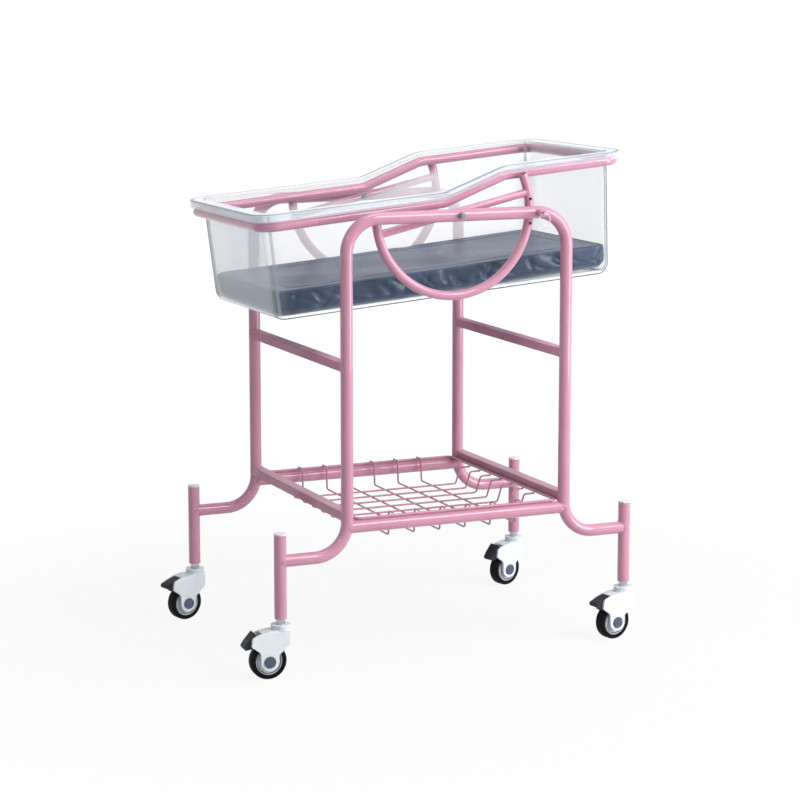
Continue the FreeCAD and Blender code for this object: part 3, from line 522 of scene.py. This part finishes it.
def dress_nodes():
    """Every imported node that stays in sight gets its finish. The two enamels that the weld
    beads share are handed back."""
    frame_enamel = enamel("frame_enamel")
    cradle_enamel = enamel("cradle_enamel")
    dress(frame_enamel, "side_frame_near", "side_frame_far", "basket_rail_near",
          "basket_rail_far", "plunger_boss", "pivot_spacers", *per_caster("caster_post"))
    dress(enamel("lower_bar_enamel", (0.60, 0.285, 0.395), (0.50, 0.23, 0.33), 0.3, 0.04),
          "lower_crossbar_foot", "lower_crossbar_head")
    # The upper crossbars get a lighter copy of the pink: painted light that stands in for the
    # light their faces lack, and no gloss.
    dress(enamel("crossbar_enamel_painted_lighter", (0.74, 0.38, 0.51), (0.54, 0.26, 0.36), 0.0, 0.01),
          "upper_crossbar_foot", "upper_crossbar_head")
    dress(enamel("basket_enamel", (0.52, 0.22, 0.32), (0.42, 0.17, 0.25)),
          "basket_rim", "basket_cross_wires", "basket_long_wires")
    dress(cradle_enamel, "cradle_rim", "cradle_arc_near", "cradle_arc_far",
          "pivot_bar_near", "pivot_bar_far")
    dress(zinc("bolt_zinc", (0.20, 0.22, 0.26)), "pivot_bolts", "pivot_nuts")
    dress(zinc("bright_zinc"), "caster_stems", "lock_pin", *per_caster("axle"))
    dress(zinc("spring_steel", (0.66, 0.67, 0.70)), "lock_spring", "pull_ring")
    dress(moulded("white_cap", (0.80, 0.81, 0.84), (0.74, 0.76, 0.80), 0.30), "post_caps")
    dress(moulded("socket_white", (0.70, 0.71, 0.74), (0.62, 0.63, 0.67), 0.45),
          "caster_sockets")
    dress(moulded("housing_white", (0.79, 0.845, 0.89), (0.74, 0.80, 0.85), 0.28),
          *per_caster("housing"))
    dress(moulded("pedal_dark", (0.026, 0.026, 0.036), (0.014, 0.014, 0.021), 0.42,
                  grain=420.0, relief=0.4, specular=0.15), *per_caster("pedal"))
    dress(moulded("axle_cap_blue", (0.066, 0.084, 0.140), (0.052, 0.068, 0.118), 0.34),
          *per_caster("axle_caps"))
    for name in CASTER_HEADINGS:
        dress(tyre_finish(name), "tyre_" + name)
        dress(hub_finish(name), "hub_" + name)
    dress(clear_plastic(), "tub")
    return frame_enamel, cradle_enamel


# ---------------------------------------------------------------- mesh making
def shell(points, joined_rows=False, capped=False):
    """Vertices and faces of a (rows, columns, 3) grid whose last column joins its first.
    Rows may join too, or the end rows close on their middles. Faces are turned outwards."""
    rows, columns, _ = points.shape
    index = np.arange(rows * columns).reshape(rows, columns)
    index = np.concatenate([index, index[:, :1]], axis=1)
    if joined_rows:
        index = np.concatenate([index, index[:1]], axis=0)
    quads = np.stack([index[:-1, :-1], index[:-1, 1:], index[1:, 1:], index[1:, :-1]], axis=-1)
    quads = quads.reshape(-1, 4)
    vertices = points.reshape(-1, 3)
    faces = [quads]
    if capped:
        vertices = np.vstack([vertices, points[0].mean(0), points[-1].mean(0)])
        low = np.full(columns, rows * columns)
        faces.append(np.stack([low, index[0, 1:], index[0, :-1]], axis=-1))
        faces.append(np.stack([low + 1, index[-1, :-1], index[-1, 1:]], axis=-1))
    a, b, c, d = (vertices[quads[:, i]] - vertices.mean(0) for i in range(4))
    volume = (np.cross(b - a, c - a) * a).sum() + (np.cross(c - a, d - a) * a).sum()
    if volume < 0:
        faces = [part[:, ::-1] for part in faces]
    return vertices, faces


def mesh_of(name, shells):
    """One mesh of several shells, shaded smooth."""
    starts = np.cumsum([0] + [len(vertices) for vertices, _ in shells])
    faces = [face for start, (_, parts) in zip(starts, shells)
             for part in parts for face in (part + start).tolist()]
    mesh = bpy.data.meshes.new(name)
    mesh.from_pydata(np.vstack([vertices for vertices, _ in shells]).tolist(), [], faces)
    mesh.polygons.foreach_set("use_smooth", np.ones(len(mesh.polygons), bool))
    return mesh


def new_piece(name, mesh, finish, body):
    """An object in the scene that rides on a body and fills a slot."""
    piece = bpy.data.objects.new(name, mesh)
    scene.collection.objects.link(piece)
    if finish is not None:
        mesh.materials.append(finish)
    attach(piece, body)
    return piece


def full_turn(count):
    """Angles at even steps round a circle."""
    return np.linspace(0, 2 * np.pi, count, endpoint=False)


TUBE_SIDES = 8
TUBE_TWIST = np.array([0.301, 0.512, 0.804])


def tube_along(path, radius):
    """A closed tube: each path point plus radius times a circle in the plane across the
    path, the circle's axes being the path's tangent crossed with a fixed direction. The
    radius is one number or one for each path point."""
    tangent = np.roll(path, -1, 0) - np.roll(path, 1, 0)
    tangent /= np.linalg.norm(tangent, axis=1, keepdims=True)
    across = np.cross(tangent, TUBE_TWIST)
    across /= np.linalg.norm(across, axis=1, keepdims=True)
    up = np.cross(tangent, across)
    angle = full_turn(TUBE_SIDES)
    ring = (across[:, None] * np.cos(angle)[None, :, None]
            + up[:, None] * np.sin(angle)[None, :, None])
    return path[:, None] + np.reshape(radius, (-1, 1, 1)) * ring


def from_cradle(points):
    """Points of the cradle's level frame, turned by the rest tilt and moved to the pivot."""
    x, y, z = np.moveaxis(points, -1, 0)
    turned = np.stack([x * math.cos(REST_TILT) - z * math.sin(REST_TILT), y,
                       x * math.sin(REST_TILT) + z * math.cos(REST_TILT)], axis=-1)
    return turned + PIVOT


def to_cradle(points):
    """The way back from from_cradle."""
    x, y, z = np.moveaxis(points - PIVOT, -1, 0)
    return np.stack([x * math.cos(REST_TILT) + z * math.sin(REST_TILT), y,
                     -x * math.sin(REST_TILT) + z * math.cos(REST_TILT)], axis=-1)


def rectangle_line(half_x, half_y, corner, count):
    """Points at even lengths round a rounded rectangle: straight runs and quarter circles."""
    straight_x = half_x - corner
    straight_y = half_y - corner
    quarter = corner * np.pi / 2
    runs = np.array([2 * straight_y, quarter, 2 * straight_x, quarter] * 2)
    ends = np.cumsum(runs)
    length = np.linspace(0, ends[-1], count, endpoint=False)
    run = np.searchsorted(ends, length, side="right")
    into = length - (ends - runs)[run]
    side = run // 2
    start = np.array([[half_x, -straight_y], [straight_x, half_y], [-half_x, straight_y],
                      [-straight_x, -half_y]])[side]
    along = np.array([[0, 1], [-1, 0], [0, -1], [1, 0]])[side]
    middle = np.array([[straight_x, straight_y], [-straight_x, straight_y],
                       [-straight_x, -straight_y], [straight_x, -straight_y]])[side]
    turn = side * np.pi / 2 + into / corner
    arc = middle + corner * np.stack([np.cos(turn), np.sin(turn)], axis=-1)
    line = start + along * into[:, None]
    return np.where((run % 2 == 1)[:, None], arc, line)


# ---------------------------------------------------------------- mattress
PAD_HALF_X = 0.3706
PAD_HALF_Y = 0.1826
PAD_BASE = -0.1721
PAD_THICK = 0.055
PAD_CORNER_R = 0.012
PAD_LOW_R = 0.014
PAD_TOP_R = 0.006
OUTLINE_POINTS = 260
EDGE_ROWS = 7
FACE_ROWS = 12
VOXEL = 0.0055
INFLATE_FRAMES = 20
INFLATE_PRESSURE = 4.0
INFLATE_REACH = 0.006
# After the inflation the pad is stretched by this much, then held inside its own space.
STRETCH = np.array([1.012, 1.024, 1.07])
SIDE_START_X = 0.343
SIDE_START_Y = 0.155
SIDE_DEPTH = 0.020
# Folds of a long side and of an end: their number, depth and first seed.
LONG_FOLDS = (40, 0.0065, 7)
END_FOLDS = (16, 0.0045, 11)
LID_RISE = 0.035
SWELL = 0.0011
# The swell's waves, in radians per metre, with the starts of the first two.
SWELL_X = (23, 1.3)
SWELL_Y = (31, 0.4)
SWELL_ACROSS = 17
TOP_FLARE = 0.0020
HEM_LIFT = 0.0085
HEAD_LIFT_START_X = -0.10
HEAD_LIFT_UNDER = 0.008
HEAD_LIFT_TOP = 0.004
# Each row of piping: its inset from the pad's outline, its corner's radius and its own.
PIPING_ROWS = ((0.0045, 0.012, 0.0009), (0.040, 0.030, 0.0006))
PIPING_POINTS = 420


def slab_points():
    """A slab with rounded edges: a rounded rectangle carried up a section whose inset is a
    quarter circle at the base and at the top, closed over by rings shrunk to the middle."""
    outline = rectangle_line(PAD_HALF_X, PAD_HALF_Y, PAD_CORNER_R, OUTLINE_POINTS)
    turn = np.linspace(0, np.pi / 2, EDGE_ROWS)
    inset = np.concatenate([PAD_LOW_R * (1 - np.sin(turn)), PAD_TOP_R * (1 - np.cos(turn))])
    rise = np.concatenate([PAD_LOW_R * (1 - np.cos(turn)),
                           PAD_THICK - PAD_TOP_R * (1 - np.sin(turn))])
    shares = np.linspace(0.04, 0.96, FACE_ROWS)
    size = np.stack([1 - inset / PAD_HALF_X, 1 - inset / PAD_HALF_Y], axis=-1)
    wall = outline[None] * size[:, None]
    base = outline[None] * size[0] * shares[:, None, None]
    lid = outline[None] * size[-1] * shares[::-1][:, None, None]
    plan = np.concatenate([base, wall, lid])
    z = np.concatenate([np.zeros(FACE_ROWS), rise, np.full(FACE_ROWS, PAD_THICK)])
    z = np.broadcast_to(z[:, None, None], (*plan.shape[:2], 1))
    return np.concatenate([plan, z + PAD_BASE], axis=-1)


def coordinates(mesh):
    """The mesh's vertices as an array."""
    flat = np.empty(len(mesh.vertices) * 3)
    mesh.vertices.foreach_get("co", flat)
    return flat.reshape(-1, 3)


def baked_mesh(piece, name):
    """The piece's mesh as its modifiers leave it at this frame."""
    depsgraph = bpy.context.evaluated_depsgraph_get()
    mesh = bpy.data.meshes.new_from_object(piece.evaluated_get(depsgraph))
    mesh.name = name
    return mesh


def inflate(piece):
    """The piece's points after it is blown up a little as cloth, with each one's way capped."""
    rest = coordinates(piece.data)
    cloth = piece.modifiers.new("cloth", "CLOTH")
    cloth.settings.quality = 4
    cloth.settings.use_pressure = True
    cloth.settings.uniform_pressure_force = INFLATE_PRESSURE
    cloth.settings.tension_stiffness = 12
    cloth.settings.compression_stiffness = 12
    cloth.settings.bending_stiffness = 0.4
    cloth.settings.effector_weights.gravity = 0.0
    for number in range(1, INFLATE_FRAMES + 1):
        scene.frame_set(number)
    moved = coordinates(baked_mesh(piece, "inflated")) - rest
    piece.modifiers.remove(cloth)
    scene.frame_set(1)
    length = np.linalg.norm(moved, axis=1, keepdims=True)
    return rest + moved * np.minimum(1.0, INFLATE_REACH / np.maximum(length, 1e-9))


def folds(along, rise, reach_along, side, kind):
    """Slack creases on a side: the sum of narrow troughs along slanted lines, each with its
    own place, slant, width and depth, fading towards the side's top and bottom."""
    count, depth, seed = kind
    draw = np.random.default_rng(seed + side)
    place = draw.uniform(-reach_along, reach_along, count)
    slant = draw.uniform(-1.9, 0.7, count)
    width = draw.uniform(0.003, 0.009, count)
    deep = draw.uniform(0.3, 1.0, count) * depth
    middle = draw.uniform(0.2, 0.8, count) * PAD_THICK
    reach = draw.uniform(0.010, 0.030, count)
    offset = along[:, None] - place - slant * (rise[:, None] - middle)
    fade = np.exp(-((rise[:, None] - middle) / reach) ** 2)
    return (deep * fade * np.exp(-(offset / width) ** 2)).sum(1)


def shape_pad(points):
    """The inflated points, held inside the pad's space, then creased along the four sides,
    swelled on top by a sum of slow waves, flared towards the top edge, and lifted along the
    lower edge and towards the head end."""
    floor = np.array([0.0, 0.0, PAD_BASE])
    low = np.array([-PAD_HALF_X, -PAD_HALF_Y, 0.0])
    high = np.array([PAD_HALF_X, PAD_HALF_Y, PAD_THICK])
    points = np.clip((points - floor) * STRETCH, low, high) + floor
    x, y, z = points.T.copy()
    rise = z - PAD_BASE
    side_x = np.clip((np.abs(x) - SIDE_START_X) / SIDE_DEPTH, 0, 1)
    side_y = np.clip((np.abs(y) - SIDE_START_Y) / SIDE_DEPTH, 0, 1)
    for side in (-1, 1):
        on_long = side * side_y * (side * y > 0)
        on_end = side * side_x * (side * x > 0)
        points[:, 1] -= on_long * folds(x, rise, PAD_HALF_X, side, LONG_FOLDS)
        points[:, 0] -= on_end * folds(y, rise, PAD_HALF_Y, side, END_FOLDS)
    swell = (np.sin(x * SWELL_X[0] + SWELL_X[1]) * np.cos(y * SWELL_Y[0] + SWELL_Y[1])
             + np.sin((x + y) * SWELL_ACROSS))
    on_lid = (rise > LID_RISE) * (1 - side_x) * (1 - side_y)
    up = rise / PAD_THICK
    along = np.clip((x - HEAD_LIFT_START_X) / (PAD_HALF_X - HEAD_LIFT_START_X), 0, 1)
    points[:, 0] += np.sign(x) * side_x * TOP_FLARE * up
    points[:, 1] += np.sign(y) * side_y * TOP_FLARE * up
    points[:, 2] += (SWELL * on_lid * swell + side_y * HEM_LIFT * (1 - up) ** 2
                     + along * np.where(up < 0.5, HEAD_LIFT_UNDER, HEAD_LIFT_TOP))
    return points


def make_mattress():
    """The pad: a slab, remeshed evenly, inflated and creased."""
    finish = navy_cloth()
    slab = mesh_of("mattress_core", [shell(slab_points(), capped=True)])
    core = new_piece("mattress_pad", slab, None, "mattress")
    remesh = core.modifiers.new("remesh", "REMESH")
    remesh.mode = "VOXEL"
    remesh.voxel_size = VOXEL
    even = baked_mesh(core, "mattress_pad")
    core.modifiers.remove(remesh)
    core.data = even
    points = inflate(core)
    even.vertices.foreach_set("co", from_cradle(shape_pad(points)).ravel())
    even.materials.append(finish)
    even.polygons.foreach_set("use_smooth", np.ones(len(even.polygons), bool))
    even.update()
    smooth = core.modifiers.new("subdivision", "SUBSURF")
    smooth.levels = 1
    smooth.render_levels = 1
    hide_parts("mattress")
    return core, finish


def height_finder(pad):
    """A search tree of the pad's skin, in the cradle's level frame."""
    mesh = baked_mesh(pad, "pad_skin")
    skin = to_cradle(coordinates(mesh))
    mesh.calc_loop_triangles()
    triangles = np.empty(len(mesh.loop_triangles) * 3, dtype=np.int32)
    mesh.loop_triangles.foreach_get("vertices", triangles)
    bpy.data.meshes.remove(mesh)
    return BVHTree.FromPolygons(skin.tolist(), triangles.reshape(-1, 3).tolist())


def sew_piping(pad, finish):
    """Rows of piping on the pad's skin, one along its top edge and one inside it: a rounded
    rectangle dropped onto the skin, its heights averaged over five points."""
    tree = height_finder(pad)
    down = Vector((0, 0, -1))
    rows = []
    for inset, corner, radius in PIPING_ROWS:
        line = rectangle_line(PAD_HALF_X - inset, PAD_HALF_Y - inset, corner, PIPING_POINTS)
        hits = [tree.ray_cast(Vector((a, b, 0.0)), down)[0] for a, b in line]
        height = np.array([hit.z if hit else PAD_BASE + PAD_THICK for hit in hits])
        height = sum(np.roll(height, shift) for shift in range(-2, 3)) / 5
        path = np.concatenate([line, height[:, None]], axis=1)
        rows.append(shell(from_cradle(tube_along(path, radius)), joined_rows=True))
    new_piece("mattress_piping", mesh_of("mattress_piping", rows), finish, "mattress")


# ---------------------------------------------------------------- weld beads
# The trolley's lines, heights from the floor and the rest from the middle, and the radii of
# its tubes. The arc's and the pivot bar's lines are the cradle's, about the pivot.
TUBE_R = 0.0127
STUB_Z = 0.238
RAIL_Z = 0.294
FOOT_BEND_R = 0.068
POST_X = 0.390
LEG_X = 0.245
SIDE_Y = 0.261
BAR_LEVELS = (0.620, 0.317)
BOSS_R = 0.0075
SPACER_R = 0.008
PLUNGER_X = 0.175
ARC_Y = 0.2283
ARC_R = 0.1709
ARC_TUBE_R = 0.0095
ARC_CENTRE = np.array([0.0043, 0.0042])
PIVOT_BAR_R = 0.008
PIVOT_BAR_SLOPE = math.radians(8.0)
# Half sizes and corner of a crossbar's section.
BAR_HALF_X = 0.0124
BAR_HALF_Z = 0.009
BAR_CORNER_R = 0.002
# Radii of the beads.
TUBE_WELD_R = 0.0013
BAR_WELD_R = 0.0012
SMALL_WELD_R = 0.0011
BOSS_WELD_R = 0.0010
# Points round a saddle, a crossbar's foot, a boss and a pivot bar's end, and for one ripple.
SADDLE_POINTS = 96
BAR_POINTS = 88
BOSS_POINTS = 60
BAR_END_POINTS = 72
RIPPLE_POINTS = 3.2


def stub_saddle(end, side):
    """Where a stub meets its post: y is R cos t and z is R sin t round the stub, and x stands
    off the post's axis by the root of R squared less y squared."""
    t = full_turn(SADDLE_POINTS)
    y = TUBE_R * np.cos(t)
    x = end * (POST_X - np.sqrt(TUBE_R ** 2 - y ** 2))
    return np.stack([x, side * SIDE_Y + y, STUB_Z + TUBE_R * np.sin(t)], axis=-1)


def rail_saddle(end, side):
    """Where a rail meets a leg: as a stub's saddle, the leg's own line bending outwards by
    r less the root of r squared less the depth below the bend's start, squared."""
    t = full_turn(SADDLE_POINTS)
    y = TUBE_R * np.cos(t)
    z = RAIL_Z + TUBE_R * np.sin(t)
    below = np.maximum(STUB_Z + FOOT_BEND_R - z, 0)
    line = LEG_X + FOOT_BEND_R - np.sqrt(FOOT_BEND_R ** 2 - below ** 2)
    x = end * (line - np.sqrt(TUBE_R ** 2 - y ** 2))
    return np.stack([x, side * SIDE_Y + y, z], axis=-1)


def bar_foot(end, side, level):
    """A crossbar's rounded outline laid on the leg: y stands off the leg's axis by the root
    of R squared less x squared."""
    x, z = rectangle_line(BAR_HALF_X, BAR_HALF_Z, BAR_CORNER_R, BAR_POINTS).T
    y = side * (SIDE_Y - np.sqrt(TUBE_R ** 2 - x ** 2))
    return np.stack([end * LEG_X + x, y, level + z], axis=-1)


def round_foot(x, side, radius, outward):
    """A round boss's edge laid on the top tube: y stands off the tube's axis by the root of
    R squared less z squared."""
    t = full_turn(BOSS_POINTS)
    z = radius * np.sin(t)
    y = side * (SIDE_Y + outward * np.sqrt(TUBE_R ** 2 - z ** 2))
    return np.stack([x + radius * np.cos(t), y, z], axis=-1)


def bar_end(end, side):
    """Where a pivot bar meets the arc: on the bar's circle at angle t, the run along the bar
    is the root of a quadratic that puts the point on the arc's round section."""
    t = full_turn(BAR_END_POINTS)
    along = end * np.array([math.cos(PIVOT_BAR_SLOPE), math.sin(PIVOT_BAR_SLOPE)])
    normal = np.array([-along[1], along[0]])
    y = PIVOT_BAR_R * np.sin(t)
    reach = ARC_R - np.sqrt(ARC_TUBE_R ** 2 - y ** 2)
    start = PIVOT_BAR_R * np.cos(t)[:, None] * normal - ARC_CENTRE
    half = start @ along
    run = -half + np.sqrt(half ** 2 - (start ** 2).sum(1) + reach ** 2)
    plane = start + ARC_CENTRE + run[:, None] * along
    return np.stack([plane[:, 0], side * ARC_Y + y, plane[:, 1]], axis=-1)


def bead(path, radius, seed):
    """A ripple-faced weld bead: a tube whose radius rises and falls along the path."""
    draw = np.random.default_rng(seed)
    count = len(path)
    turn = full_turn(count)
    wander = np.sin(3 * turn + draw.uniform(0, 6)) * draw.uniform(0.5, 1.0)
    ripple = 0.10 * np.sin(round(count / RIPPLE_POINTS) * turn) + 0.12 * wander
    return tube_along(path, radius * (1 + ripple))


def lay_welds(finish_frame, finish_cradle):
    """Beads round every saddle of the trolley and of the cradle."""
    floor_point = PIVOT * (1.0, 1.0, 0.0)
    trolley = []
    cradle = []
    for end in (-1, 1):
        for side in (-1, 1):
            trolley.append((stub_saddle(end, side) + floor_point, TUBE_WELD_R))
            trolley.append((rail_saddle(end, side) + floor_point, TUBE_WELD_R))
            for level in BAR_LEVELS:
                trolley.append((bar_foot(end, side, level) + floor_point, BAR_WELD_R))
            cradle.append((from_cradle(bar_end(end, side)), SMALL_WELD_R))
    for side in (-1, 1):
        trolley.append((round_foot(0.0, side, SPACER_R, -1) + PIVOT, SMALL_WELD_R))
    trolley.append((round_foot(PLUNGER_X, -1, BOSS_R, 1) + PIVOT, BOSS_WELD_R))
    for name, body, slot, finish, beads in (
            ("frame_weld_beads", "trolley", "pink_enamel", finish_frame, trolley),
            ("cradle_weld_beads", "cradle", "pink_enamel_cradle", finish_cradle, cradle)):
        shells = [shell(bead(path, radius, number), joined_rows=True)
                  for number, (path, radius) in enumerate(beads)]
        new_piece(name, mesh_of(name, shells), finish, body)


place_camera()
light_studio()
lay_floor()
frame_enamel, cradle_enamel = dress_nodes()
lay_welds(frame_enamel, cradle_enamel)
pad, pad_finish = make_mattress()
sew_piping(pad, pad_finish)

scene.view_settings.view_transform = "Standard"
